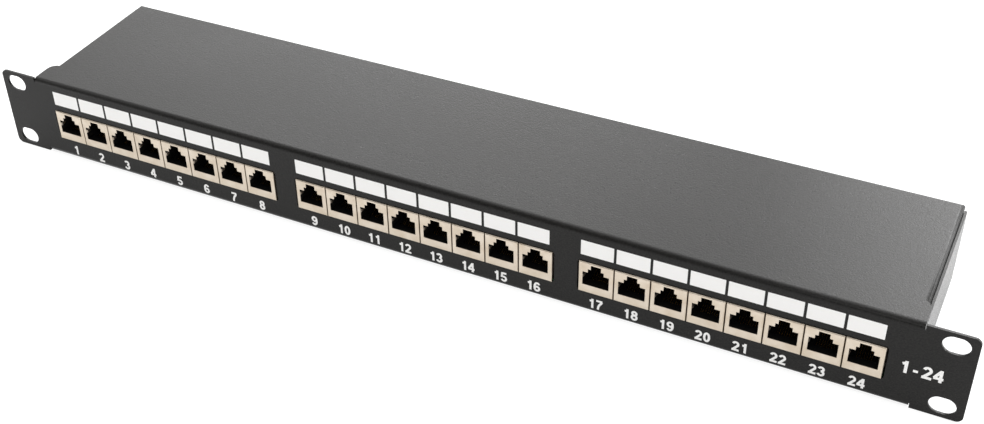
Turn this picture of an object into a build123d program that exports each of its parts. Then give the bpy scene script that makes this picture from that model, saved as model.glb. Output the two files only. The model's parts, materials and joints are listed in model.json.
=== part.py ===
"""A 19-inch, one-unit patch panel with 24 shielded eight-way sockets in three groups of eight.

Millimetres. The origin is the centre of the rack slot pattern, on the rear face of the ears, where the
panel meets the rack. +X runs to the right across the front, +Y runs back into the rack and +Z is up.
"""

from build123d import *
import os
from math import cos, radians, sin

# ---- Rack front -----------------------------------------------------------------------------------
PANEL_W = 482.6
PANEL_H = 44.0
SHEET_T = 1.2
EAR_CORNER_R = 3.0
SLOT_PITCH_X = 465.1
SLOT_PITCH_Z = 31.75
SLOT_L = 11.0
SLOT_W = 8.5
FLANGE_W = 440.0
FLANGE_D = 15.2
FLANGE_CORNER_R = 5.0
BEND_R = 2.5
BEND_RELIEF = 0.3

# ---- Case behind the front ------------------------------------------------------------------------
CASE_D = 84.4
CASE_BEND_R = 2.0
COVER_FIT = 0.1
TRAY_FRONT_GAP = 0.3
COVER_FRONT_GAP = 2.0
COVER_SIDE_DROP = 5.0
COVER_REAR_DROP = 12.8
CORNER_SLIT = 1.0
TAB_W = 14.0
TAB_FOOT_GAP = 3.0
TAB_TOP_GAP = 0.5

# ---- Sockets --------------------------------------------------------------------------------------
GROUPS = 3
JACKS_PER_GROUP = 8
GROUP_PITCH = 143.4
GROUP_SHIFT = -1.0
JACK_PITCH = 16.42
JACK_W = 16.0
JACK_H = 16.5
JACK_D = 17.0
JACK_PROUD = 0.65
JACK_CENTRE_Z = -2.6
JACK_EDGE_R = 0.5
SHIELD_T = 0.3
SHIELD_FIT = 0.05
WINDOW_GAP = 0.3
WINDOW_END_GAP = 0.8
WINDOW_R = 1.5

# The plug opening: a wide throat, a shoulder and a notch for the plug's latch.
THROAT_W = 12.2
THROAT_H = 7.0
THROAT_FLOOR = 4.27
SHOULDER_W = 7.3
SHOULDER_H = 1.9
NOTCH_W = 4.7
NOTCH_H = 2.3
CAVITY_D = 14.0
CAVITY_FIT = 0.2

# Ground springs on both sides of the throat.
EAR_SPRING_T = 0.2
EAR_SPRING_H = 1.6
EAR_SPRING_L = 3.4
EAR_SPRING_IN = 0.5
EAR_SPRING_Z = 1.0

# Contact wires, sprung up from a trough in the cavity's floor.
WIRES = 8
WIRE_PITCH = 1.02
WIRE_T = 0.35
WIRE_L = 8.0
WIRE_TIP_L = 0.9
WIRE_RISE = 18.0
WIRE_SEAT = 0.25
TROUGH_W = 9.0
TROUGH_START = 4.4
TROUGH_H = 1.4

# ---- Circuit boards -------------------------------------------------------------------------------
BOARD_W = 134.0
BOARD_FRONT = 0.6
BOARD_D = 61.0
BOARD_T = 1.6
BOARD_HOLE_IN = 5.0
BOARD_HOLE_REAR_IN = 4.5
PEG_R = 1.5
PEG_FIT = 0.1
PEG_SPACING = 11.4
PEG_Y = 7.5
STANDOFF_Y = 23.0
STANDOFF_R = 3.0

# ---- Insulation displacement blocks at the back of each board ---------------------------------------
IDC_W = 15.2
IDC_D = 12.4
IDC_H = 12.0
IDC_Y = 44.0
IDC_ROW_PITCH = 6.0
IDC_SLOT_PITCH = 3.4
IDC_SLOTS_PER_ROW = 4
IDC_SLOT_W = 0.9
IDC_SLOT_D = 4.6
IDC_SLOT_H = 8.0
IDC_CLIP_T = 0.4
IDC_CLIP_W = 3.6
IDC_CLIP_H = 6.8
IDC_CLIP_CUT_W = 0.5
IDC_CLIP_CUT_H = 3.5

# ---- Cable bar --------------------------------------------------------------------------------------
BAR_SIDE = 8.0
BAR_FRONT = 71.0
BAR_REAR = 98.0
BAR_COMB_D = 12.0
BAR_GAP_W = 6.0
BAR_TIE_D = 1.6
BAR_TIE_L = 3.6
BAR_TIE_Y = 91.0
BAR_SCREW_Y = 77.0

# ---- Fasteners --------------------------------------------------------------------------------------
M3_R = 1.5
M3_HOLE_R = 1.7
THREAD_FIT = 0.05
M3_HEAD_R = 2.9
M3_HEAD_H = 1.9
CROSS_L = 3.2
CROSS_W = 0.7
CROSS_D = 1.0
PANEL_SCREW_XS = (-180.0, -71.2, 70.2, 180.0)
PANEL_SCREW_Y = 8.0
BAR_SCREW_XS = (-172.0, -57.0, 57.0, 172.0)
COVER_SCREW_BELOW_TAB_TOP = 3.8
STUD_R = 2.0
STUD_FREE_L = 8.0
STUD_GROOVE_R = 1.6
STUD_GROOVE_L = 0.5
STUD_TIP = 0.5
STUD_HEAD_R = 3.8
STUD_HEAD_H = 1.6
STUD_Z = -9.0
WASHER_R = 4.5
WASHER_T = 1.0
NUT_AF = 7.0
NUT_H = 3.2

# ---- Places worked out from the sizes above -----------------------------------------------------------
FRONT_Y = -SHEET_T
TOP_Z = PANEL_H / 2
FLOOR_UNDER_Z = -PANEL_H / 2 + SHEET_T
FLOOR_Z = FLOOR_UNDER_Z + SHEET_T
COVER_TOP_Z = TOP_Z - SHEET_T - COVER_FIT
WALL_X = FLANGE_W / 2
WALL_IN_X = WALL_X - SHEET_T
COVER_X = WALL_IN_X - COVER_FIT
COVER_REAR_Y = CASE_D + SHEET_T
TAB_REAR_Y = CASE_D - COVER_FIT
TAB_X = WALL_X - TAB_W / 2
TAB_TOP_Z = COVER_TOP_Z - COVER_SIDE_DROP - TAB_TOP_GAP
WALL_TOP_Z = COVER_TOP_Z - CASE_BEND_R + COVER_FIT
COVER_SCREW_Z = TAB_TOP_Z - COVER_SCREW_BELOW_TAB_TOP
JACK_FACE_Y = FRONT_Y - JACK_PROUD
JACK_LOW_Z = JACK_CENTRE_Z - JACK_H / 2
THROAT_LOW_Z = JACK_LOW_Z + THROAT_FLOOR
BOARD_TOP_Z = JACK_LOW_Z
BOARD_LOW_Z = BOARD_TOP_Z - BOARD_T
BAR_LOW_Z = FLOOR_Z
BAR_TOP_Z = BAR_LOW_Z + SHEET_T
GROUP_XS = [GROUP_SHIFT + (i - (GROUPS - 1) / 2) * GROUP_PITCH for i in range(GROUPS)]


def block(x0, x1, y0, y1, z0, z1):
    """A box between two corners."""
    size = Box(x1 - x0, y1 - y0, z1 - z0, align=(Align.MIN, Align.MIN, Align.MIN))
    return Pos(x0, y0, z0) * size


def rod(x, y, z, radius, length, turn=Rotation(0, 0, 0)):
    """A cylinder that starts at a point and runs along +Z, or where the turn sends +Z."""
    rise = Cylinder(radius, length, align=(Align.CENTER, Align.CENTER, Align.MIN))
    return Pos(x, y, z) * turn * rise


DOWN = Rotation(180, 0, 0)
BACK = Rotation(-90, 0, 0)
FORWARD = Rotation(90, 0, 0)


def screw(x, y, z, shank_l, turn):
    """A pan-head screw with a cross recess: its head sits on the point, its shank runs along -Z turned."""
    head = Cylinder(M3_HEAD_R, M3_HEAD_H, align=(Align.CENTER, Align.CENTER, Align.MIN))
    head = fillet(head.edges().group_by(Axis.Z)[-1], M3_HEAD_H * 0.45)
    shank = Pos(0, 0, -shank_l) * Cylinder(
        M3_R - THREAD_FIT, shank_l, align=(Align.CENTER, Align.CENTER, Align.MIN)
    )
    recess = Pos(0, 0, M3_HEAD_H) * (Box(CROSS_L, CROSS_W, 2 * CROSS_D) + Box(CROSS_W, CROSS_L, 2 * CROSS_D))
    return Pos(x, y, z) * turn * (head + shank - recess)


def jack_xs(group_x):
    """The centres of the sockets in one group, left to right."""
    first = group_x - (JACKS_PER_GROUP - 1) / 2 * JACK_PITCH
    return [first + i * JACK_PITCH for i in range(JACKS_PER_GROUP)]


def board_holes(group_x):
    """Where one board is screwed down: two holes behind its sockets and two at its back corners."""
    side = BOARD_W / 2 - BOARD_HOLE_IN
    rear = BOARD_FRONT + BOARD_D - BOARD_HOLE_REAR_IN
    return [(group_x + s * side, y) for s in (-1, 1) for y in (STANDOFF_Y, rear)]


# ---- Sheet metal --------------------------------------------------------------------------------------
def front_panel():
    """The rack front: one sheet with two ears, a flange folded back at top and bottom, and three windows."""
    half_h = PANEL_H / 2
    plate = Rectangle(PANEL_W, PANEL_H)
    plate = fillet(plate.vertices(), EAR_CORNER_R)
    sheet = extrude(Plane.XZ * plate, SHEET_T)
    for s in (-1, 1):
        edge = sorted((s * half_h, s * (half_h - BEND_R)))
        sheet -= block(
            -WALL_X - BEND_RELIEF, WALL_X + BEND_RELIEF, -2 * SHEET_T, SHEET_T, edge[0], edge[1]
        )
    flange_y = FRONT_Y + FLANGE_D
    outer = Pos(0, (FRONT_Y + 2 * flange_y) / 2, 0) * Box(FLANGE_W, 2 * flange_y - FRONT_Y, PANEL_H)
    outer = fillet(outer.edges().filter_by(Axis.X).group_by(Axis.Y)[0], BEND_R)
    inner_h = PANEL_H - 2 * SHEET_T
    inner = Pos(0, flange_y, 0) * Box(2 * FLANGE_W, 2 * flange_y, inner_h)
    inner = fillet(inner.edges().filter_by(Axis.X).group_by(Axis.Y)[0], BEND_R - SHEET_T)
    plan = Pos(0, FRONT_Y + FLANGE_D / 2, 0) * Box(FLANGE_W, FLANGE_D, PANEL_H)
    plan = fillet(plan.edges().filter_by(Axis.Z).group_by(Axis.Y)[-1], FLANGE_CORNER_R)
    panel = sheet + ((outer - inner) & plan)
    for x in (-SLOT_PITCH_X / 2, SLOT_PITCH_X / 2):
        for z in (-SLOT_PITCH_Z / 2, SLOT_PITCH_Z / 2):
            slot = Plane.XZ * Pos(x, z) * SlotOverall(SLOT_L, SLOT_W)
            panel -= extrude(slot, 2 * SHEET_T, both=True)
    window_w = (JACKS_PER_GROUP - 1) * JACK_PITCH + JACK_W + 2 * WINDOW_END_GAP
    window_h = JACK_H + 2 * WINDOW_GAP
    for x in GROUP_XS:
        window = Plane.XZ * Pos(x, JACK_CENTRE_Z) * RectangleRounded(window_w, window_h, WINDOW_R)
        panel -= extrude(window, 2 * SHEET_T, both=True)
    for x in PANEL_SCREW_XS:
        panel -= rod(x, PANEL_SCREW_Y, -half_h - SHEET_T, M3_R, 3 * SHEET_T)
    return panel


def bottom_tray():
    """The floor and side walls, with a tab folded in at the back of each wall."""
    low, high = FLOOR_UNDER_Z, WALL_TOP_Z
    outer = block(-WALL_X, WALL_X, TRAY_FRONT_GAP, TAB_REAR_Y, low, high)
    outer = fillet(outer.edges().filter_by(Axis.Y).group_by(Axis.Z)[0], CASE_BEND_R)
    inner = block(-WALL_IN_X, WALL_IN_X, TRAY_FRONT_GAP - 1, TAB_REAR_Y + 1, FLOOR_Z, high + 1)
    inner = fillet(inner.edges().filter_by(Axis.Y).group_by(Axis.Z)[0], CASE_BEND_R - SHEET_T)
    tray = outer - inner
    for s in (-1, 1):
        x0, x1 = sorted((s * (WALL_X - SHEET_T / 2), s * (WALL_X - TAB_W)))
        tray += block(
            x0, x1, TAB_REAR_Y - SHEET_T, TAB_REAR_Y, FLOOR_Z + TAB_FOOT_GAP, TAB_TOP_Z
        )
    tray -= block(-WALL_X, WALL_X, TRAY_FRONT_GAP - 1, COVER_FRONT_GAP, low - 1, FLOOR_Z + 1)
    for s in (-1, 1):
        x0, x1 = sorted((s * WALL_IN_X, s * (WALL_X + 1)))
        tray -= block(x0, x1, TAB_REAR_Y - SHEET_T, TAB_REAR_Y + 1, TAB_TOP_Z, high + 1)
        tray -= rod(s * TAB_X, TAB_REAR_Y - 2 * SHEET_T, COVER_SCREW_Z, M3_R, 3 * SHEET_T, BACK)
    tray -= rod(TAB_X, TAB_REAR_Y - 2 * SHEET_T, STUD_Z, STUD_R + THREAD_FIT, 3 * SHEET_T, BACK)
    for x in PANEL_SCREW_XS:
        tray -= rod(x, PANEL_SCREW_Y, FLOOR_UNDER_Z - 1, M3_HOLE_R, 2 * SHEET_T + 1)
    for x in BAR_SCREW_XS:
        tray -= rod(x, BAR_SCREW_Y, FLOOR_UNDER_Z - 1, M3_R, 2 * SHEET_T + 1)
    for group_x in GROUP_XS:
        for x, y in board_holes(group_x):
            tray -= rod(x, y, FLOOR_UNDER_Z - 1, STANDOFF_R - SHEET_T / 2 + THREAD_FIT, 2 * SHEET_T + 1)
    return tray


def top_cover():
    """The cover: it slides in under the top flange, and its sides run inside the tray's walls."""
    low = COVER_TOP_Z - COVER_REAR_DROP
    outer = block(-COVER_X, COVER_X, COVER_FRONT_GAP, COVER_REAR_Y, low, COVER_TOP_Z)
    top = outer.edges().group_by(Axis.Z)[-1]
    folds = ShapeList(top.filter_by(Axis.Y)) + ShapeList(top.filter_by(Axis.X).group_by(Axis.Y)[-1])
    outer = fillet(folds, CASE_BEND_R)
    inner_x = COVER_X - SHEET_T
    inner = block(-inner_x, inner_x, COVER_FRONT_GAP - 1, CASE_D, low - 1, COVER_TOP_Z - SHEET_T)
    top = inner.edges().group_by(Axis.Z)[-1]
    folds = ShapeList(top.filter_by(Axis.Y)) + ShapeList(top.filter_by(Axis.X).group_by(Axis.Y)[-1])
    inner = fillet(folds, CASE_BEND_R - SHEET_T)
    cover = outer - inner
    side_low = COVER_TOP_Z - COVER_SIDE_DROP
    cover -= block(-PANEL_W, PANEL_W, 0, CASE_D - CORNER_SLIT, low - 1, side_low)
    for s in (-1, 1):
        x0, x1 = sorted((s * (COVER_X - CASE_BEND_R), s * PANEL_W))
        cover -= block(
            x0, x1, CASE_D - CORNER_SLIT, PANEL_W, low - 1, COVER_TOP_Z - CASE_BEND_R - CORNER_SLIT
        )
        cover -= rod(s * TAB_X, CASE_D - 1, COVER_SCREW_Z, M3_HOLE_R, 2 * SHEET_T + 1, BACK)
    return cover


def cable_bar():
    """A flat comb behind the floor, with a notched tongue beside each cable for its tie."""
    left = jack_xs(GROUP_XS[0])[0] - BAR_SIDE
    right = jack_xs(GROUP_XS[-1])[-1] + BAR_SIDE
    bar = block(left, right, BAR_FRONT, BAR_REAR, BAR_LOW_Z, BAR_TOP_Z)
    for group_x in GROUP_XS:
        for x in jack_xs(group_x):
            bar -= block(
                x - BAR_GAP_W / 2, x + BAR_GAP_W / 2, BAR_REAR - BAR_COMB_D, BAR_REAR + 1,
                BAR_LOW_Z - 1, BAR_TOP_Z + 1,
            )
            reach = BAR_GAP_W / 2 + BAR_TIE_D
            bar -= block(
                x - reach, x + reach, BAR_TIE_Y - BAR_TIE_L / 2, BAR_TIE_Y + BAR_TIE_L / 2,
                BAR_LOW_Z - 1, BAR_TOP_Z + 1,
            )
    for x in BAR_SCREW_XS:
        bar -= rod(x, BAR_SCREW_Y, BAR_LOW_Z - 1, M3_HOLE_R, SHEET_T + 2)
    return bar


# ---- Sockets --------------------------------------------------------------------------------------------
def opening(x, grow, y0, depth):
    """The stepped plug opening of one socket, grown all round and cut to a depth behind y0."""
    steps = ((THROAT_W, THROAT_H), (SHOULDER_W, SHOULDER_H), (NOTCH_W, NOTCH_H))
    z = THROAT_LOW_Z
    cut = None
    for width, height in steps:
        low = z - grow if cut is None else THROAT_LOW_Z
        step = block(x - width / 2 - grow, x + width / 2 + grow, y0, y0 + depth, low, z + height + grow)
        cut = step if cut is None else cut + step
        z += height
    return cut


def jack_shield(x):
    """The folded metal can of one socket, open underneath, with a ground spring on each side of its throat."""
    rear = JACK_FACE_Y + JACK_D
    can = block(x - JACK_W / 2, x + JACK_W / 2, JACK_FACE_Y, rear, JACK_LOW_Z, JACK_LOW_Z + JACK_H)
    can = fillet(can.edges().group_by(Axis.Y)[0], JACK_EDGE_R)
    inside = JACK_W / 2 - SHIELD_T
    can -= block(
        x - inside, x + inside, JACK_FACE_Y + SHIELD_T, rear - SHIELD_T,
        JACK_LOW_Z - 1, JACK_LOW_Z + JACK_H - SHIELD_T,
    )
    can -= opening(x, 0, JACK_FACE_Y - 1, SHIELD_T + 2)
    mid_z = THROAT_LOW_Z + THROAT_H / 2 + EAR_SPRING_Z
    for s in (-1, 1):
        edge = THROAT_W / 2
        path = ThreePointArc(
            (x + s * (edge + EAR_SPRING_T / 2), JACK_FACE_Y + SHIELD_T / 2),
            (x + s * (edge - EAR_SPRING_IN + EAR_SPRING_T / 2), JACK_FACE_Y + EAR_SPRING_L * 0.45),
            (x + s * (edge + EAR_SPRING_T / 2), JACK_FACE_Y + EAR_SPRING_L),
        )
        strip = make_face(offset(path, EAR_SPRING_T / 2, side=Side.BOTH).edges())
        can += Pos(0, 0, mid_z - EAR_SPRING_H / 2) * extrude(strip, EAR_SPRING_H, dir=(0, 0, 1))
    return can


def jack_housing(x):
    """The plastic body of one socket: the plug's cavity, the contacts' trough and two pegs into the board."""
    side = JACK_W / 2 - SHIELD_T - SHIELD_FIT
    front = JACK_FACE_Y + SHIELD_T + SHIELD_FIT
    rear = JACK_FACE_Y + JACK_D - SHIELD_T - SHIELD_FIT
    top = JACK_LOW_Z + JACK_H - SHIELD_T - SHIELD_FIT
    body = block(x - side, x + side, front, rear, JACK_LOW_Z, top)
    body -= opening(x, CAVITY_FIT, front - 1, JACK_FACE_Y + CAVITY_D - front + 1)
    body -= block(
        x - TROUGH_W / 2, x + TROUGH_W / 2, JACK_FACE_Y + TROUGH_START, JACK_FACE_Y + CAVITY_D,
        THROAT_LOW_Z - TROUGH_H, THROAT_LOW_Z + 1,
    )
    for s in (-1, 1):
        body += rod(x + s * PEG_SPACING / 2, PEG_Y, JACK_LOW_Z, PEG_R, BOARD_T, DOWN)
    return body


def contact_wires(x):
    """The eight sprung wires of one socket. They turn about the line where they leave the trough."""
    root_y = JACK_FACE_Y + TROUGH_START + WIRE_T + WIRE_SEAT
    root_z = THROAT_LOW_Z - TROUGH_H + WIRE_SEAT + WIRE_T / 2
    rise = radians(WIRE_RISE)
    knee_y = root_y + WIRE_L * cos(rise)
    knee_z = root_z + WIRE_L * sin(rise)
    wires = []
    for i in range(WIRES):
        wire_x = x + (i - (WIRES - 1) / 2) * WIRE_PITCH
        path = Polyline(
            (root_y, root_z), (knee_y, knee_z), (knee_y + WIRE_TIP_L, knee_z - WIRE_TIP_L / 2)
        )
        side = make_face(offset(path, WIRE_T / 2, side=Side.BOTH).edges())
        bar = extrude(Plane.YZ.offset(wire_x - WIRE_T / 2) * side, WIRE_T)
        wires.append(bar)
    return wires


# ---- Boards and their blocks ------------------------------------------------------------------------------
def circuit_board(group_x):
    """One board: it carries eight sockets at its front and eight wiring blocks behind them."""
    board = block(
        group_x - BOARD_W / 2, group_x + BOARD_W / 2, BOARD_FRONT, BOARD_FRONT + BOARD_D,
        BOARD_LOW_Z, BOARD_TOP_Z,
    )
    for x, y in board_holes(group_x):
        board -= rod(x, y, BOARD_LOW_Z - 1, M3_HOLE_R, BOARD_T + 2)
    for x in jack_xs(group_x):
        for s in (-1, 1):
            board -= rod(x + s * PEG_SPACING / 2, PEG_Y, BOARD_LOW_Z - 1, PEG_R + PEG_FIT, BOARD_T + 2)
    return board


def idc_slots(x):
    """The centres of one wiring block's slots, four in each of two rows."""
    first = x - (IDC_SLOTS_PER_ROW - 1) / 2 * IDC_SLOT_PITCH
    ys = (IDC_Y - IDC_ROW_PITCH / 2, IDC_Y + IDC_ROW_PITCH / 2)
    return [(first + i * IDC_SLOT_PITCH, y) for y in ys for i in range(IDC_SLOTS_PER_ROW)]


def idc_block(x):
    """One wiring block: a plastic body with a slot for each of the cable's eight wires."""
    top = BOARD_TOP_Z + IDC_H
    body = block(x - IDC_W / 2, x + IDC_W / 2, IDC_Y - IDC_D / 2, IDC_Y + IDC_D / 2, BOARD_TOP_Z, top)
    body = chamfer(body.edges().group_by(Axis.Z)[-1], 0.6)
    for slot_x, slot_y in idc_slots(x):
        body -= block(
            slot_x - IDC_SLOT_W / 2, slot_x + IDC_SLOT_W / 2,
            slot_y - IDC_SLOT_D / 2, slot_y + IDC_SLOT_D / 2, top - IDC_SLOT_H, top + 1,
        )
    return body


def idc_clips(x):
    """The forked metal clips that stand in one wiring block's slots."""
    low = BOARD_TOP_Z + IDC_H - IDC_SLOT_H
    clips = []
    for slot_x, slot_y in idc_slots(x):
        clip = block(
            slot_x - IDC_CLIP_T / 2, slot_x + IDC_CLIP_T / 2,
            slot_y - IDC_CLIP_W / 2, slot_y + IDC_CLIP_W / 2, low, low + IDC_CLIP_H,
        )
        clip -= block(
            slot_x - IDC_CLIP_T, slot_x + IDC_CLIP_T, slot_y - IDC_CLIP_CUT_W / 2,
            slot_y + IDC_CLIP_CUT_W / 2, low + IDC_CLIP_H - IDC_CLIP_CUT_H, low + IDC_CLIP_H + 1,
        )
        clips.append(clip)
    return clips


def standoff(x, y):
    """A round standoff, pressed into the floor and bored for the board's screw."""
    post = rod(x, y, FLOOR_Z, STANDOFF_R, BOARD_LOW_Z - FLOOR_Z)
    post += rod(x, y, FLOOR_UNDER_Z, STANDOFF_R - SHEET_T / 2, SHEET_T)
    return post - rod(x, y, FLOOR_UNDER_Z - 1, M3_R, BOARD_LOW_Z - FLOOR_UNDER_Z + 2)


# ---- Ground stud ------------------------------------------------------------------------------------------
def ground_stud():
    """The earth stud: its head is inside the right tab, and its thread points back past a run-out groove."""
    length = SHEET_T + WASHER_T + NUT_H + STUD_FREE_L
    seat_y = TAB_REAR_Y - SHEET_T
    head = rod(TAB_X, seat_y, STUD_Z, STUD_HEAD_R, STUD_HEAD_H, FORWARD)
    shank = rod(TAB_X, seat_y, STUD_Z, STUD_R, length, BACK)
    shank = chamfer(shank.edges().group_by(Axis.Y)[-1], STUD_TIP)
    groove_y = TAB_REAR_Y + WASHER_T + NUT_H
    groove = rod(TAB_X, groove_y, STUD_Z, 2 * STUD_R, STUD_GROOVE_L, BACK)
    groove -= rod(TAB_X, groove_y - 1, STUD_Z, STUD_GROOVE_R, STUD_GROOVE_L + 2, BACK)
    return head + shank - groove


def ground_washer():
    """A flat washer on the stud, against the tab."""
    ring = rod(TAB_X, TAB_REAR_Y, STUD_Z, WASHER_R, WASHER_T, BACK)
    return ring - rod(TAB_X, TAB_REAR_Y - 1, STUD_Z, STUD_R + 0.2, WASHER_T + 2, BACK)


def ground_nut():
    """A hexagon nut on the stud, against the washer."""
    seat_y = TAB_REAR_Y + WASHER_T
    sketch = Plane.XZ.offset(-seat_y) * Pos(TAB_X, STUD_Z) * RegularPolygon(NUT_AF / 2, 6, major_radius=False)
    nut = extrude(sketch, -NUT_H)
    return nut - rod(TAB_X, seat_y - 1, STUD_Z, STUD_R + THREAD_FIT, NUT_H + 2, BACK)


# ---- Assembly ---------------------------------------------------------------------------------------------
def build():
    """Every node of the panel, by name, as a list of its solids."""
    nodes = {
        "front_panel": [front_panel()],
        "bottom_tray": [bottom_tray()],
        "top_cover": [top_cover()],
        "cable_bar": [cable_bar()],
        "ground_stud": [ground_stud()],
        "ground_washer": [ground_washer()],
        "ground_nut": [ground_nut()],
    }
    cover_shank = 3 * SHEET_T
    nodes["cover_screws"] = [
        screw(s * TAB_X, COVER_REAR_Y, COVER_SCREW_Z, cover_shank, BACK) for s in (-1, 1)
    ]
    nodes["panel_screws"] = [
        screw(x, PANEL_SCREW_Y, FLOOR_Z, 2 * SHEET_T - THREAD_FIT, Rotation(0, 0, 0)) for x in PANEL_SCREW_XS
    ]
    nodes["cable_bar_screws"] = [
        screw(x, BAR_SCREW_Y, BAR_TOP_Z, 2 * SHEET_T - THREAD_FIT, Rotation(0, 0, 0)) for x in BAR_SCREW_XS
    ]
    places = [place for group_x in GROUP_XS for place in board_holes(group_x)]
    nodes["board_standoffs"] = [standoff(x, y) for x, y in places]
    nodes["board_screws"] = [screw(x, y, BOARD_TOP_Z, 2 * BOARD_T + 2, Rotation(0, 0, 0)) for x, y in places]
    port = 0
    for number, group_x in enumerate(GROUP_XS, 1):
        xs = jack_xs(group_x)
        nodes[f"circuit_board_{number}"] = [circuit_board(group_x)]
        nodes[f"jack_shields_{number}"] = [jack_shield(x) for x in xs]
        nodes[f"jack_housings_{number}"] = [jack_housing(x) for x in xs]
        nodes[f"idc_blocks_{number}"] = [idc_block(x) for x in xs]
        nodes[f"idc_clips_{number}"] = [clip for x in xs for clip in idc_clips(x)]
        for x in xs:
            port += 1
            nodes[f"contact_wires_{port:02d}"] = contact_wires(x)
    return nodes


def main():
    """Writes one STEP file for each node."""
    os.makedirs("parts", exist_ok=True)
    for name, solids in build().items():
        shape = solids[0] if len(solids) == 1 else Compound(children=solids)
        export_step(shape, f"parts/{name}.step")


if __name__ == "__main__":
    main()
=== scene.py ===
"""The looks of a 24-port shielded patch panel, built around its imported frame.

Sizes are in metres, in the frame's own axes: +X runs right along the front, +Y back into the rack,
+Z up.
"""

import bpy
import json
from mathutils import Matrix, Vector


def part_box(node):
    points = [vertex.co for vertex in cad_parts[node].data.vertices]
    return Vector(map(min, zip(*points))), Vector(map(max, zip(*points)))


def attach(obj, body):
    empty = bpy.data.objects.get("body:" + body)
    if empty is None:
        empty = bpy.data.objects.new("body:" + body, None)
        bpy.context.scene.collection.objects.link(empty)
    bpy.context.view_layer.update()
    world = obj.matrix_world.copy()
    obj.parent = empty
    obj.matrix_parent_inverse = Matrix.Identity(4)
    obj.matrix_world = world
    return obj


bl_info = {
    "name": "Patch Panel Looks",
    "version": (1, 0, 0),
    "blender": (4, 5, 0),
    "location": "3D View > Sidebar > Patch Panel",
    "description": "Finishes, printed labels and studio for a shielded patch panel",
    "category": "Object",
}

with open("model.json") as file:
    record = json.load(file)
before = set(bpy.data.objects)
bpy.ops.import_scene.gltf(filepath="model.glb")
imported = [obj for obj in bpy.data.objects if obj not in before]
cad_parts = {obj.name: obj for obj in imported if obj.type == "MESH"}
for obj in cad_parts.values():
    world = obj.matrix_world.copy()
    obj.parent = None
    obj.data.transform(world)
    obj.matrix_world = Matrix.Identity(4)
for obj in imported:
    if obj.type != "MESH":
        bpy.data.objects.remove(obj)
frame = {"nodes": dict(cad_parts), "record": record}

import json

import bpy
import numpy as np
from bpy.props import FloatProperty, FloatVectorProperty, PointerProperty, StringProperty
from mathutils import Matrix, Vector

MM = 0.001
# A framed part's facets share no corners, so corners this close are merged before its edges are rounded.
MERGE = 0.005 * MM
NODES = frame["nodes"]
FRONT_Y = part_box("front_panel")[0][1]
LOW_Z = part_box("front_panel")[0][2]
SOCKETS = {
    mount["name"]: Vector(mount["pos_m"])
    for mount in frame["record"]["mounts"]
    if mount["name"].startswith("socket_")
}
BODY = {node: body for body, nodes in frame["record"]["behaviour"]["bodies"].items() for node in nodes}
GROUP_SIZE = 8

# Lettering, in shares of a character's height: from one character to the next, and a stroke's width.
ADVANCE = 0.70
STROKE_W = 0.20
# How much thicker the ink of each later stroke of a character is.
LAYER_SHARE = 0.12

# The dome's levels low in front of the panel, behind it, and what is added straight overhead.
DOME_FRONT = 0.25
DOME_BACK = 1.75
DOME_OVERHEAD = 0.6
# Soft lights in the dome: the way to each, the angles in degrees where it is full and where it
# ends, and its level.
SOFTBOXES = (
    ((0.12, 0.80, 0.57), 8, 18, 10.0),
    ((-0.44, 0.74, 0.53), 4, 16, 2.6),
    ((-0.38, 0.92, 0.04), 5, 12, 10.0),
    ((0.64, 0.70, 0.30), 6, 14, 7.0),
    ((0.00, 0.42, 0.91), 8, 32, 2.4),
    ((0.30, -0.78, 0.55), 5, 13, 3.0),
)


# ---- Sizes and colours that a user would change --------------------------------------------------


class PrintSizes(bpy.types.PropertyGroup):
    """Sizes of the writing fields and the numbers printed on the front."""

    field_w: FloatProperty(name="Field width", description="Width of a writing field", default=15.05 * MM,
                           unit="LENGTH")
    field_h: FloatProperty(name="Field height", description="Height of a writing field", default=7.7 * MM,
                           unit="LENGTH")
    field_corner: FloatProperty(name="Field corner", description="Corner radius of a writing field",
                                default=0.25 * MM, unit="LENGTH")
    field_pitch: FloatProperty(name="Field pitch", description="From one field's centre to the next",
                               default=16.25 * MM, unit="LENGTH")
    field_z: FloatProperty(name="Field height above centre", description="Height of the fields' middle line",
                           default=12.95 * MM, unit="LENGTH")
    field_shift: FloatProperty(name="Field shift", description="How far the print stands left of the sockets",
                               default=0.5 * MM, unit="LENGTH")
    ink_t: FloatProperty(name="Ink thickness", description="Thickness of the printed ink", default=0.05 * MM,
                         unit="LENGTH")
    digit_h: FloatProperty(name="Digit height", description="Height of the port numbers", default=5.2 * MM,
                           unit="LENGTH")
    digit_z: FloatProperty(name="Digit line", description="Foot of the port numbers", default=-19.2 * MM,
                           unit="LENGTH")
    range_h: FloatProperty(name="Range height", description="Height of the port range at the right",
                           default=6.3 * MM, unit="LENGTH")
    range_x: FloatProperty(name="Range place", description="Middle of the port range, left to right",
                           default=222.2 * MM, unit="LENGTH")
    range_z: FloatProperty(name="Range line", description="Foot of the port range", default=-4.5 * MM,
                           unit="LENGTH")


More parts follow.
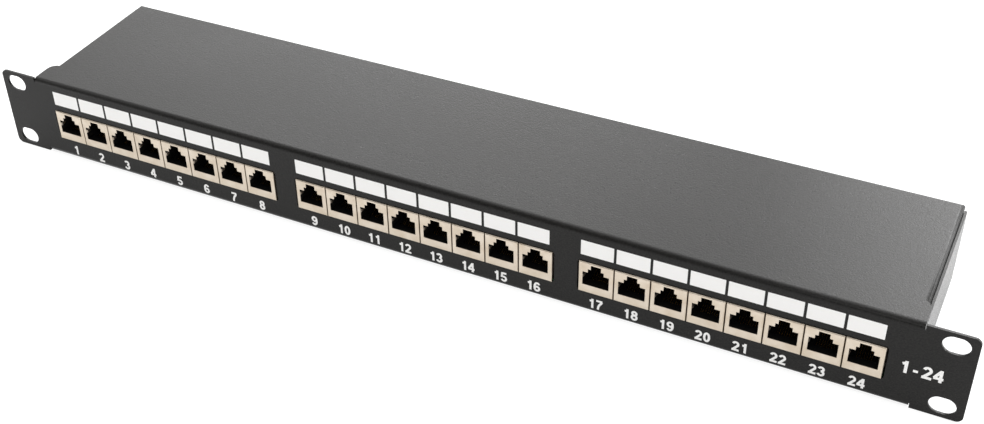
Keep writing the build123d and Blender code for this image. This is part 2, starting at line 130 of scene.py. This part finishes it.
class Finishes(bpy.types.PropertyGroup):
    """The panel's finishes: colours as sRGB hex values, and how far the coat rounds an edge."""

    coat: StringProperty(name="Powder coat", description="Colour of the coated steel", default="#0f0e0e")
    coat_grit: StringProperty(name="Coat grit", description="Colour of the coat's high spots",
                              default="#201f1d")
    edge_w: FloatProperty(name="Edge rounding", description="How far the coat rounds the sheet's edges",
                          default=0.35 * MM, unit="LENGTH")
    nickel: StringProperty(name="Nickel", description="Colour of the socket shields", default="#d2c7b8")
    nickel_stain: StringProperty(name="Nickel stain", description="Darker patches of the socket shields",
                                 default="#c3b5a2")
    ink: StringProperty(name="Ink", description="Colour of the printed fields and numbers",
                        default="#f4f3f1")
    housing: StringProperty(name="Housings", description="Colour of the socket housings",
                            default="#0b0a0a")
    gold: StringProperty(name="Contacts", description="Colour of the contact wires", default="#f2c268")
    board: StringProperty(name="Boards", description="Colour of the circuit boards", default="#0f4a2b")
    tracks: StringProperty(name="Tracks", description="Colour of the boards over their copper tracks",
                           default="#1f6b42")
    block: StringProperty(name="Wiring blocks", description="Colour of the wiring blocks",
                          default="#dcdcd4")
    tin: StringProperty(name="Clips", description="Colour of the wiring blocks' clips", default="#c9c8c4")
    zinc: StringProperty(name="Fasteners", description="Colour of screws and washers", default="#ccced0")
    brass: StringProperty(name="Brass", description="Colour of the earth stud and standoffs",
                          default="#c9a35c")


class Studio(bpy.types.PropertyGroup):
    """The light table and the camera."""

    table: StringProperty(name="Light table", description="Colour of the light table", default="#959595")
    table_glow: FloatProperty(name="Table glow", description="How brightly the light table glows",
                              default=0.85)
    table_side: FloatProperty(name="Table side", description="Length of the light table's side",
                              default=12.0, unit="LENGTH")
    table_gap: FloatProperty(name="Table gap", description="Gap between the panel and the table",
                             default=0.2 * MM, unit="LENGTH")
    camera_at: FloatVectorProperty(name="Camera place", description="Where the camera stands",
                                   default=(0.2520, -0.4402, 0.3889), subtype="TRANSLATION", precision=4)
    lens: FloatProperty(name="Lens", description="Focal length in millimetres on a 36 mm wide sensor",
                        default=51.61)
    shift: FloatVectorProperty(name="Lens shift", description="Shift of the picture, in sensor widths",
                               default=(0.0495, -0.0068), size=2, precision=4)
    camera_right: FloatVectorProperty(name="Camera right", description="Way of the picture's right",
                                      default=(0.8887, 0.4573, -0.0344), subtype="DIRECTION")
    camera_ahead: FloatVectorProperty(name="Camera ahead", description="Way that the camera looks",
                                      default=(-0.3845, 0.7023, -0.5991), subtype="DIRECTION")


PROPERTY_GROUPS = (PrintSizes, Finishes, Studio)
POINTERS = {"patch_print": PrintSizes, "patch_finish": Finishes, "patch_studio": Studio}


# ---- Mesh helpers --------------------------------------------------------------------------------


def new_piece(name, points, faces, material):
    """A mesh object at the origin, from points and faces, that rides with the front panel."""
    mesh = bpy.data.meshes.new(name)
    mesh.from_pydata(points.tolist(), [], faces)
    mesh.materials.append(material)
    piece = bpy.data.objects.new(name, mesh)
    bpy.context.scene.collection.objects.link(piece)
    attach(piece, BODY["front_panel"])


def rounded_rectangle(width, height, radius, steps):
    """Points round a rectangle whose corners are quarter circles: centre + radius * (cos a, sin a)."""
    turn = np.linspace(0, np.pi / 2, steps)
    corner = np.concatenate([turn + k * np.pi / 2 for k in range(4)])
    across = np.repeat([1, -1, -1, 1], steps) * (width / 2 - radius)
    up = np.repeat([1, 1, -1, -1], steps) * (height / 2 - radius)
    return np.stack([across + radius * np.cos(corner), up + radius * np.sin(corner)], axis=1)


def printed_field(x, sizes):
    """A thin pad on the front face: nested rounded rectangles that rise from the face to the ink's top.

    Ring k is the outline shrunk by inset[k] and lifted by lift[k]. The first and the last ring close
    on their centres.
    """
    inset = np.array([0.0, 0.02, 0.08, 0.6]) * MM
    lift = np.array([0.0, 0.7, 1.0, 1.0]) * sizes.ink_t
    rings = []
    for shrink, rise in zip(inset, lift):
        radius = sizes.field_corner - min(shrink, sizes.field_corner / 2)
        ring = rounded_rectangle(sizes.field_w - 2 * shrink, sizes.field_h - 2 * shrink, radius, 4)
        y = np.full(len(ring), FRONT_Y - rise)
        rings.append(np.column_stack([x + ring[:, 0], y, sizes.field_z + ring[:, 1]]))
    count = len(rings[0])
    centres = [(x, FRONT_Y - sizes.ink_t, sizes.field_z), (x, FRONT_Y, sizes.field_z)]
    points = np.vstack(rings + [centres])
    here = np.arange(count)
    after = (here + 1) % count
    faces = []
    for k in range(len(rings) - 1):
        low, high = k * count, (k + 1) * count
        faces += np.column_stack([low + here, low + after, high + after, high + here]).tolist()
    last = (len(rings) - 1) * count
    top, foot = len(points) - 2, len(points) - 1
    faces += np.column_stack([last + here, last + after, np.full(count, top)]).tolist()
    faces += np.column_stack([after, here, np.full(count, foot)]).tolist()
    return points, faces


def print_places(sizes):
    """Where each socket's field and number are centred: evenly spaced within a group of eight."""
    names = sorted(SOCKETS)
    places = {}
    for first in range(0, len(names), GROUP_SIZE):
        group = names[first:first + GROUP_SIZE]
        middle = sum(SOCKETS[name].x for name in group) / len(group) - sizes.field_shift
        for i, name in enumerate(group):
            places[name] = middle + (i - (len(group) - 1) / 2) * sizes.field_pitch
    return places


def arc(x, z, across, up, start, end, steps=14):
    """Points of an elliptic arc: centre + (across * cos a, up * sin a), from start to end in degrees."""
    turn = np.radians(np.linspace(start, end, steps))
    return np.column_stack([x + across * np.cos(turn), z + up * np.sin(turn)])


def strokes(character):
    """The middle lines of a bold character's strokes, in a cell 1 high with its middle at 0 across."""
    if character == "0":
        return [arc(0, 0.5, 0.20, 0.41, 0, 360, 33)]
    if character == "1":
        return [[(0.09, 0.0), (0.09, 1.0)], [(0.09, 0.86), (-0.02, 0.78), (-0.15, 0.735)]]
    if character == "2":
        bowl = arc(0, 0.69, 0.205, 0.22, 168, -28)
        return [np.vstack([bowl, [(-0.08, 0.25), (-0.21, 0.09)]]), [(-0.30, 0.09), (0.30, 0.09)]]
    if character == "3":
        return [arc(-0.02, 0.715, 0.19, 0.195, 165, -90), arc(-0.02, 0.30, 0.22, 0.215, 90, -165)]
    if character == "4":
        return [[(0.13, 0.0), (0.13, 1.0)], [(0.11, 0.93), (-0.26, 0.31)], [(-0.31, 0.30), (0.31, 0.30)]]
    if character == "5":
        bowl = arc(0.0, 0.315, 0.21, 0.23, 118, -160)
        return [[(-0.15, 0.91), (0.25, 0.91)], np.vstack([[(-0.145, 0.98), (-0.19, 0.46)], bowl])]
    if character == "6":
        back = arc(0.02, 0.50, 0.235, 0.41, 38, 180)
        return [arc(0.0, 0.305, 0.205, 0.22, 0, 360, 29), np.vstack([back, [(-0.205, 0.32)]])]
    if character == "7":
        leg = arc(0.42, 0.0, 0.52, 0.82, 118, 180, 8)
        return [[(-0.27, 0.91), (0.27, 0.91)], np.vstack([[(0.22, 0.88)], leg])]
    if character == "8":
        return [arc(0, 0.725, 0.175, 0.185, 0, 360, 29), arc(0, 0.295, 0.205, 0.215, 0, 360, 29)]
    if character == "9":
        back = arc(-0.02, 0.50, 0.235, 0.41, -142, 0)
        return [arc(0.0, 0.695, 0.205, 0.22, 0, 360, 29), np.vstack([back, [(0.205, 0.68)]])]
    return [[(-0.15, 0.36), (0.15, 0.36)]]


def ribbon(path, width):
    """The two edges of a stroke: path + and - half the width times the path's normal at each point."""
    path = np.asarray(path, float)
    along = np.gradient(path, axis=0)
    if np.allclose(path[0], path[-1]):
        along[0] = along[-1] = path[1] - path[-2]
    along /= np.linalg.norm(along, axis=1)[:, None]
    side = np.column_stack([-along[:, 1], along[:, 0]]) * width / 2
    return path + side, path - side


def printed_text(name, text, x, foot_z, height, thickness, material):
    """Bold characters on the front face, centred on x, with their foot on foot_z.

    Each stroke is a closed strip of four-sided rings: two edges on the face and two on top of the ink.
    A later stroke of a character is laid a little thicker, so that no two tops lie in one plane where
    they cross.
    """
    points, faces = [], []
    for place, character in enumerate(text):
        middle = (place - (len(text) - 1) / 2) * ADVANCE
        for layer, path in enumerate(strokes(character)):
            left, right = ribbon(path, STROKE_W)
            count = len(left)
            proud = thickness * (1 + LAYER_SHARE * layer)
            ring = [(left, 0.0), (right, 0.0), (right, proud), (left, proud)]
            first = sum(len(block) for block in points)
            for edge, rise in ring:
                across = x + (edge[:, 0] + middle) * height
                y = np.full(count, FRONT_Y - rise)
                points.append(np.column_stack([across, y, foot_z + edge[:, 1] * height]))
            here = np.arange(count - 1)
            for k in range(4):
                low, high = first + k * count, first + (k + 1) % 4 * count
                sides = [low + here, low + here + 1, high + here + 1, high + here]
                faces += np.column_stack(sides).tolist()
            for end, order in ((0, 1), (count - 1, -1)):
                faces.append([first + k * count + end for k in range(4)][::order])
    new_piece(name, np.vstack(points), faces, material)


# ---- Material helpers ----------------------------------------------------------------------------


def linear(hex_value):
    """A linear RGBA colour from an sRGB hex value: c / 12.92 up to 0.04045, a 2.4 power above."""
    srgb = np.array([int(hex_value[i:i + 2], 16) for i in (1, 3, 5)]) / 255
    low, high = srgb / 12.92, ((srgb + 0.055) / 1.055) ** 2.4
    return (*np.where(srgb <= 0.04045, low, high).tolist(), 1.0)


def add(tree, kind, settings=(), **inputs):
    """Adds a node. settings are its own attributes; inputs are values or sockets, _ for a name's space."""
    node = tree.nodes.new(kind)
    for name, value in dict(settings).items():
        setattr(node, name, value)
    for name, value in inputs.items():
        socket = next(s for s in node.inputs if s.name.replace(" ", "_") == name and s.enabled)
        if isinstance(value, bpy.types.NodeSocket):
            tree.links.new(value, socket)
        else:
            socket.default_value = value
    return node


def new_material(name, **shader):
    """An empty material with a Principled shader, and the object's own coordinates for its patterns."""
    material = bpy.data.materials.new(name)
    material.use_nodes = True
    tree = material.node_tree
    tree.nodes.clear()
    place = add(tree, "ShaderNodeTexCoord").outputs["Object"]
    principled = add(tree, "ShaderNodeBsdfPrincipled", **shader)
    add(tree, "ShaderNodeOutputMaterial", Surface=principled.outputs["BSDF"])
    return material, tree, place, principled


def noise(tree, place, size, detail=2.0):
    """A noise whose grain is that many metres across."""
    return add(tree, "ShaderNodeTexNoise", Vector=place, Scale=1 / size, Detail=detail).outputs["Fac"]


def spread(tree, value, low, high):
    """A noise or wave carried to a range, which it reaches at 0.3 and 0.7."""
    return add(
        tree, "ShaderNodeMapRange", Value=value, From_Min=0.3, From_Max=0.7, To_Min=low, To_Max=high
    ).outputs[0]


def ramp(tree, value, colours):
    """A colour ramp over a value, from (position, hex) pairs."""
    node = add(tree, "ShaderNodeValToRGB", Fac=value)
    stops = node.color_ramp.elements
    while len(stops) < len(colours):
        stops.new(0.5)
    for stop, (position, hex_value) in zip(stops, colours):
        stop.position = position
        stop.color = linear(hex_value)
    return node.outputs["Color"]


# ---- Materials -----------------------------------------------------------------------------------


def powder_coat(colour, high_spots):
    """Polyester powder coat on steel, oven cured: satin black, with a fine grit and a slow orange peel."""
    material, tree, place, shader = new_material(
        "powder_coat_satin_black", Specular_IOR_Level=0.12,
        Coat_Weight=0.4, Coat_Roughness=0.16, Coat_IOR=1.25,
    )
    # The real grit is about 0.1 mm, too fine to show, so it is drawn coarser.
    grit = noise(tree, place, 0.7 * MM, 3.0)
    peel = noise(tree, place, 2.2 * MM, 1.0)
    cloud = noise(tree, place, 60 * MM, 1.0)
    tone = add(tree, "ShaderNodeMix", {"data_type": "RGBA"}, Factor=spread(tree, grit, 0.0, 1.0))
    low_tone, high_tone = [socket for socket in tone.inputs if socket.type == "RGBA"]
    low_tone.default_value = linear(colour)
    high_tone.default_value = linear(high_spots)
    tree.links.new(tone.outputs[2], shader.inputs["Base Color"])
    rough = add(tree, "ShaderNodeMath", {"operation": "ADD"})
    tree.links.new(spread(tree, grit, 0.26, 0.5), rough.inputs[0])
    tree.links.new(spread(tree, cloud, -0.02, 0.03), rough.inputs[1])
    tree.links.new(rough.outputs[0], shader.inputs["Roughness"])
    fine = add(tree, "ShaderNodeBump", Height=grit, Strength=1.0, Distance=0.15 * MM).outputs[0]
    slow = add(tree, "ShaderNodeBump", Height=peel, Strength=0.3, Distance=0.06 * MM, Normal=fine)
    tree.links.new(slow.outputs[0], shader.inputs["Normal"])
    return material


def satin_nickel(colour, stained):
    """Nickel-plated brass strip, stamped and folded: warm, satin, with faint rolling lines along X."""
    material, tree, place, shader = new_material("satin_nickel_plate", Metallic=1.0)
    stretched = add(tree, "ShaderNodeMapping", Vector=place, Scale=(1.0, 1.0, 14.0)).outputs[0]
    rolled = noise(tree, stretched, 3.0 * MM, 3.0)
    stain = noise(tree, place, 6.0 * MM, 2.0)
    tree.links.new(ramp(tree, stain, [(0.3, colour), (0.75, stained)]), shader.inputs["Base Color"])
    tree.links.new(spread(tree, rolled, 0.30, 0.42), shader.inputs["Roughness"])
    bump = add(tree, "ShaderNodeBump", Height=rolled, Strength=0.15, Distance=0.03 * MM)
    tree.links.new(bump.outputs[0], shader.inputs["Normal"])
    return material


def moulded_plastic(name, colour, roughness):
    """Injection-moulded PBT: even colour with a spark-eroded tool's fine grain."""
    material, tree, place, shader = new_material(name, Base_Color=linear(colour), IOR=1.55)
    grain = noise(tree, place, 0.3 * MM, 2.0)
    tree.links.new(spread(tree, grain, roughness - 0.05, roughness + 0.08), shader.inputs["Roughness"])
    bump = add(tree, "ShaderNodeBump", Height=grain, Strength=0.2, Distance=0.02 * MM)
    tree.links.new(bump.outputs[0], shader.inputs["Normal"])
    return material


def plated_metal(name, colour, low, high, grain_size):
    """Plated or turned metal: bright, with roughness that varies in fine patches."""
    material, tree, place, shader = new_material(name, Base_Color=linear(colour), Metallic=1.0)
    grain = noise(tree, place, grain_size, 3.0)
    tree.links.new(spread(tree, grain, low, high), shader.inputs["Roughness"])
    bump = add(tree, "ShaderNodeBump", Height=grain, Strength=0.1, Distance=0.02 * MM)
    tree.links.new(bump.outputs[0], shader.inputs["Normal"])
    return material


def screen_ink(colour):
    """Two-part epoxy screen ink: nearly flat white, a little uneven where the mesh laid it down."""
    material, tree, place, shader = new_material("white_screen_ink", Base_Color=linear(colour), IOR=1.5)
    mesh_mark = noise(tree, place, 0.4 * MM, 2.0)
    tree.links.new(spread(tree, mesh_mark, 0.45, 0.6), shader.inputs["Roughness"])
    bump = add(tree, "ShaderNodeBump", Height=mesh_mark, Strength=0.1, Distance=0.01 * MM)
    tree.links.new(bump.outputs[0], shader.inputs["Normal"])
    return material


def solder_mask(colour, over_tracks):
    """Green solder mask over etched copper on glass laminate: the tracks show as lighter lines."""
    material, tree, place, shader = new_material("solder_mask_green", IOR=1.5, Coat_Weight=0.4)
    # At a scale of 1 the wave repeats every 2 pi / 20 metres, so here a track comes about every 1.2 mm.
    bands = add(
        tree, "ShaderNodeTexWave", {"wave_type": "BANDS", "bands_direction": "X"},
        Vector=place, Scale=1 / (1.2 * MM) / 3.1416, Distortion=1.5, Detail=1.0, Detail_Scale=0.2,
    ).outputs["Fac"]
    tree.links.new(ramp(tree, bands, [(0.55, colour), (0.7, over_tracks)]), shader.inputs["Base Color"])
    tree.links.new(spread(tree, bands, 0.35, 0.25), shader.inputs["Roughness"])
    bump = add(tree, "ShaderNodeBump", Height=bands, Strength=0.2, Distance=0.03 * MM)
    tree.links.new(bump.outputs[0], shader.inputs["Normal"])
    return material


# ---- Operators -----------------------------------------------------------------------------------


class PATCH_OT_finishes(bpy.types.Operator):
    """Gives every framed part its finish"""

    bl_idname = "patch.finishes"
    bl_label = "Finishes"

    def execute(self, context):
        look = context.scene.patch_finish
        by_slot = {
            "powder_coat": powder_coat(look.coat, look.coat_grit),
            "nickel_shield": satin_nickel(look.nickel, look.nickel_stain),
            "black_plastic": moulded_plastic("moulded_pbt_black", look.housing, 0.45),
            "gold_contact": plated_metal("gold_flashed_wire", look.gold, 0.2, 0.35, 0.5 * MM),
            "circuit_board": solder_mask(look.board, look.tracks),
            "idc_plastic": moulded_plastic("moulded_pbt_ivory", look.block, 0.4),
            "tinned_clip": plated_metal("tinned_bronze", look.tin, 0.25, 0.4, 0.5 * MM),
            "zinc_fastener": plated_metal("bright_zinc", look.zinc, 0.25, 0.4, 0.4 * MM),
            "brass_stud": plated_metal("turned_brass", look.brass, 0.2, 0.35, 0.4 * MM),
        }
        for part in frame["record"]["subparts"]:
            mesh = NODES[part["node"]].data
            mesh.materials.clear()
            mesh.materials.append(by_slot[part["material_slot"]])
        return {"FINISHED"}


class PATCH_OT_edges(bpy.types.Operator):
    """Rounds the sheared edges of the sheet metal, as its coat does"""

    bl_idname = "patch.edges"
    bl_label = "Coated edges"

    def execute(self, context):
        for name in ("front_panel", "top_cover", "bottom_tray", "cable_bar"):
            weld = NODES[name].modifiers.new("merge", "WELD")
            weld.merge_threshold = MERGE
            bevel = NODES[name].modifiers.new("coat_edge", "BEVEL")
            bevel.width = context.scene.patch_finish.edge_w
            bevel.segments = 3
            bevel.limit_method = "ANGLE"
            bevel.angle_limit = np.radians(40)
            bevel.harden_normals = True
        return {"FINISHED"}


class PATCH_OT_fields(bpy.types.Operator):
    """Prints a white writing field above each socket"""

    bl_idname = "patch.fields"
    bl_label = "Writing fields"

    def execute(self, context):
        sizes = context.scene.patch_print
        ink = bpy.data.materials.get("white_screen_ink") or screen_ink(context.scene.patch_finish.ink)
        for name, x in print_places(sizes).items():
            points, faces = printed_field(x, sizes)
            new_piece(name.replace("socket", "writing_field"), points, faces, ink)
        return {"FINISHED"}


class PATCH_OT_numbers(bpy.types.Operator):
    """Prints the port numbers under the sockets and the port range at the right"""

    bl_idname = "patch.numbers"
    bl_label = "Numbers"

    def execute(self, context):
        sizes = context.scene.patch_print
        ink = bpy.data.materials.get("white_screen_ink") or screen_ink(context.scene.patch_finish.ink)
        foot_z, height, ink_t = sizes.digit_z, sizes.digit_h, sizes.ink_t
        for name, x in print_places(sizes).items():
            number = name[-2:]
            printed_text(f"number_{number}", str(int(number)), x, foot_z, height, ink_t, ink)
        ports = f"1-{len(SOCKETS)}"
        printed_text("port_range", ports, sizes.range_x, sizes.range_z, sizes.range_h, ink_t, ink)
        return {"FINISHED"}


class PATCH_OT_stage(bpy.types.Operator):
    """Sets out the light table, the soft studio light and the camera"""

    bl_idname = "patch.stage"
    bl_label = "Studio"

    def execute(self, context):
        studio = context.scene.patch_studio
        context.scene.view_settings.view_transform = "Standard"
        self.light_table(context, studio)
        self.sky(context)
        self.camera(context, studio)
        return {"FINISHED"}

    def light_table(self, context, studio):
        """Opal acrylic just under the panel, lit from below: it glows, so shadows on it are faint."""
        half = studio.table_side / 2
        corners = np.array([(-half, -half), (half, -half), (half, half), (-half, half)])
        mesh = bpy.data.meshes.new("floor")
        level = np.full((4, 1), LOW_Z - studio.table_gap)
        mesh.from_pydata(np.hstack([corners, level]).tolist(), [], [(0, 1, 2, 3)])
        acrylic = new_material(
            "light_table_opal_acrylic", Base_Color=linear(studio.table), Roughness=0.9,
            Specular_IOR_Level=0.1, Emission_Color=(1, 1, 1, 1), Emission_Strength=studio.table_glow,
        )[0]
        mesh.materials.append(acrylic)
        floor = bpy.data.objects.new("floor", mesh)
        context.scene.collection.objects.link(floor)

    def sky(self, context):
        """A soft dome: bright overhead and behind the panel, dimmer low in front of it."""
        world = bpy.data.worlds.new("studio")
        context.scene.world = world
        world.use_nodes = True
        tree = world.node_tree
        tree.nodes.clear()
        way = add(tree, "ShaderNodeTexCoord").outputs["Generated"]
        axes = add(tree, "ShaderNodeSeparateXYZ", Vector=way).outputs
        smooth = {"interpolation_type": "SMOOTHSTEP"}
        light = [
            add(tree, "ShaderNodeMapRange", smooth, Value=axes["Y"], From_Min=-0.7, From_Max=0.4,
                To_Min=DOME_FRONT, To_Max=DOME_BACK),
            add(tree, "ShaderNodeMapRange", smooth, Value=axes["Z"], From_Min=0.74, From_Max=0.95,
                To_Min=0.0, To_Max=DOME_OVERHEAD),
        ]
        for aim, inner, outer, level in SOFTBOXES:
            toward = add(tree, "ShaderNodeVectorMath", {"operation": "DOT_PRODUCT"})
            tree.links.new(way, toward.inputs[0])
            toward.inputs[1].default_value = Vector(aim).normalized()
            light.append(
                add(tree, "ShaderNodeMapRange", smooth, Value=toward.outputs["Value"],
                    From_Min=np.cos(np.radians(outer)), From_Max=np.cos(np.radians(inner)),
                    To_Min=0.0, To_Max=level)
            )
        total = light[0]
        for part in light[1:]:
            both = add(tree, "ShaderNodeMath", {"operation": "ADD"})
            tree.links.new(total.outputs[0], both.inputs[0])
            tree.links.new(part.outputs[0], both.inputs[1])
            total = both
        background = add(tree, "ShaderNodeBackground", Color=(1, 1, 1, 1), Strength=total.outputs[0])
        add(tree, "ShaderNodeOutputWorld", Surface=background.outputs[0])

    def camera(self, context, studio):
        """The camera looks down across the panel from its right end, rolled a little."""
        data = bpy.data.cameras.new("camera")
        data.sensor_width = 36.0
        data.lens = studio.lens
        data.shift_x, data.shift_y = studio.shift
        data.clip_start = 0.01
        data.clip_end = 50.0
        camera = bpy.data.objects.new("camera", data)
        right = Vector(studio.camera_right).normalized()
        ahead = Vector(studio.camera_ahead)
        ahead = (ahead - right * ahead.dot(right)).normalized()
        up = right.cross(ahead)
        turn = Matrix((right, up, -ahead)).transposed().to_4x4()
        camera.matrix_world = Matrix.Translation(Vector(studio.camera_at)) @ turn
        context.scene.collection.objects.link(camera)
        context.scene.camera = camera


OPERATORS = (PATCH_OT_finishes, PATCH_OT_edges, PATCH_OT_fields, PATCH_OT_numbers, PATCH_OT_stage)


class PATCH_PT_sidebar(bpy.types.Panel):
    """Lists the panel's pieces and their sizes in the sidebar"""

    bl_idname = "PATCH_PT_sidebar"
    bl_label = "Patch Panel"
    bl_space_type = "VIEW_3D"
    bl_region_type = "UI"
    bl_category = "Patch Panel"

    def draw(self, context):
        for pointer, group in POINTERS.items():
            box = self.layout.box()
            for name in group.__annotations__:
                box.prop(getattr(context.scene, pointer), name)
        for operator in OPERATORS:
            self.layout.operator(operator.bl_idname)


def register():
    for group in PROPERTY_GROUPS + OPERATORS + (PATCH_PT_sidebar,):
        bpy.utils.register_class(group)
    for pointer, group in POINTERS.items():
        setattr(bpy.types.Scene, pointer, PointerProperty(type=group))


def unregister():
    for pointer in POINTERS:
        delattr(bpy.types.Scene, pointer)
    for group in reversed(PROPERTY_GROUPS + OPERATORS + (PATCH_PT_sidebar,)):
        bpy.utils.unregister_class(group)


def main():
    """Makes every piece in order."""
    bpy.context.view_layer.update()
    register()
    bpy.ops.patch.finishes()
    bpy.ops.patch.edges()
    bpy.ops.patch.fields()
    bpy.ops.patch.numbers()
    bpy.ops.patch.stage()
    bpy.context.view_layer.update()


if __name__ == "__main__":
    main()
